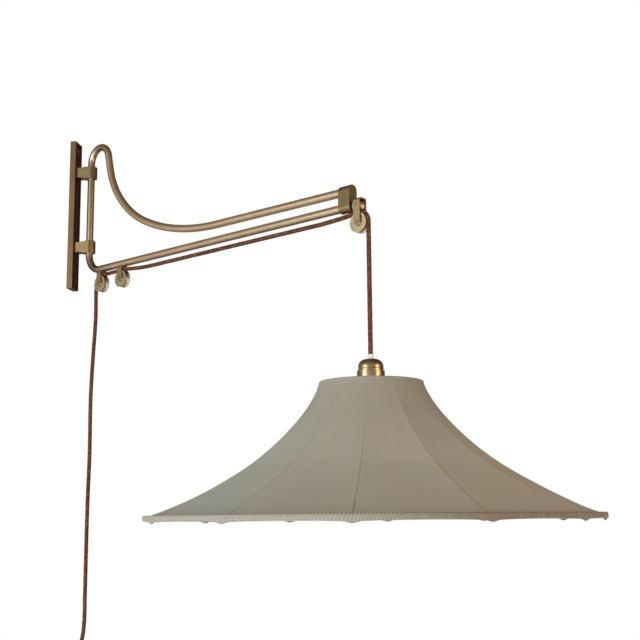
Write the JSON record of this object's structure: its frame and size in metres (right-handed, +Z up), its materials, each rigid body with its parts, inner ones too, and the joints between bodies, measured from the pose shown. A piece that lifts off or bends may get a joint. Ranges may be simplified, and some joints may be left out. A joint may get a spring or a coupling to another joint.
{
  "type": "swing arm wall sconce",
  "caption": "Swing arm wall sconce: bent brass tube arm in wall brackets, textile cord over grooved wheels, and a wide flared fabric shade that slides up and down.",
  "frame": {"origin": "centre of the wall plate's back face, which rests on the wall", "axes": "+X out of the wall, +Z up, +Y along the wall; the arm at rest is swung 34 degrees from +X towards -Y"},
  "size_m": [0.8451, 0.679, 1.001],
  "materials": {
    "dark_brass": "dark patina",
    "aged_brass": "aged satin",
    "tube_brass": "brushed satin",
    "wheel_brass": "turned satin",
    "holder_brass": "satin",
    "steel": "plated",
    "textile_cord": "braided",
    "tie": "matt",
    "plug": "moulded",
    "white_plastic": "moulded",
    "ceramic": "glazed",
    "bulb_glass": "opal",
    "frame_wire": "painted wire",
    "shade_cloth": "lined linen",
    "braid_trim": "braided gimp"
  },
  "bodies": {
    "wall": {"wall_plate": "dark_brass", "upper_bracket": "aged_brass", "lower_bracket": "aged_brass", "bracket_screws": "steel"},
    "arm": {"arm_tube": "tube_brass", "thrust_collar": "aged_brass", "end_block": "aged_brass", "hanger_1": "wheel_brass", "hanger_2": "wheel_brass", "axle_1": "wheel_brass", "axle_2": "wheel_brass", "end_fork": "wheel_brass", "end_axle": "wheel_brass", "roller_pin": "wheel_brass", "cord_run": "textile_cord", "cord_lead": "textile_cord", "cord_coil": "textile_cord", "coil_tie": "tie", "plug_body": "plug", "plug_pins": "steel", "cord_drop": "textile_cord"},
    "first_wheel": {"wheel_1": "wheel_brass"},
    "second_wheel": {"wheel_2": "wheel_brass"},
    "outer_wheel": {"end_wheel": "wheel_brass"},
    "roller": {"guide_roller": "wheel_brass"},
    "lamp": {"cord_grip": "white_plastic", "holder_cap": "holder_brass", "holder_shell": "holder_brass", "ring_nut": "holder_brass", "holder_insert": "ceramic", "screw_shell": "holder_brass", "center_contact": "holder_brass", "terminal_screws": "steel", "bulb_base": "steel", "bulb_glass": "bulb_glass", "shade_spider": "frame_wire", "frame_top_ring": "frame_wire", "frame_bottom_ring": "frame_wire", "frame_ribs": "frame_wire", "shade_fabric": "shade_cloth", "top_trim": "braid_trim", "bottom_trim": "braid_trim"}
  },
  "joints": [
    {"name": "arm_swing", "type": "hinge", "parent": "wall", "child": "arm", "pos_m": [0.034, 0, 0], "axis": [0, 0, 1], "range_deg": [-28, 96]},
    {"name": "shade_height", "type": "slide", "parent": "arm", "child": "lamp", "axis": [0, 0, 1], "range_m": [-0.25, 0.13], "deforming": ["cord_drop"]},
    {"name": "wheel_1_spin", "type": "hinge", "parent": "arm", "child": "first_wheel", "pos_m": [0.06467, -0.02069, -0.1258], "axis": [0.5592, 0.829, 0], "continuous": true},
    {"name": "wheel_2_spin", "type": "hinge", "parent": "arm", "child": "second_wheel", "pos_m": [0.1111, -0.05201, -0.1258], "axis": [0.5592, 0.829, 0], "continuous": true},
    {"name": "end_wheel_spin", "type": "hinge", "parent": "arm", "child": "outer_wheel", "pos_m": [0.53938, -0.34088, -0.1254], "axis": [0.5592, 0.829, 0], "continuous": true},
    {"name": "roller_spin", "type": "hinge", "parent": "arm", "child": "roller", "pos_m": [0.53739, -0.33954, -0.1011], "axis": [0.5592, 0.829, 0], "continuous": true}
  ],
  "couplings": [
    {"joint": "wheel_1_spin", "follows": "shade_height", "rad_per_m": -66.667},
    {"joint": "wheel_2_spin", "follows": "shade_height", "rad_per_m": -66.667},
    {"joint": "end_wheel_spin", "follows": "shade_height", "rad_per_m": -66.667},
    {"joint": "roller_spin", "follows": "shade_height", "rad_per_m": 107.53}
  ]
}
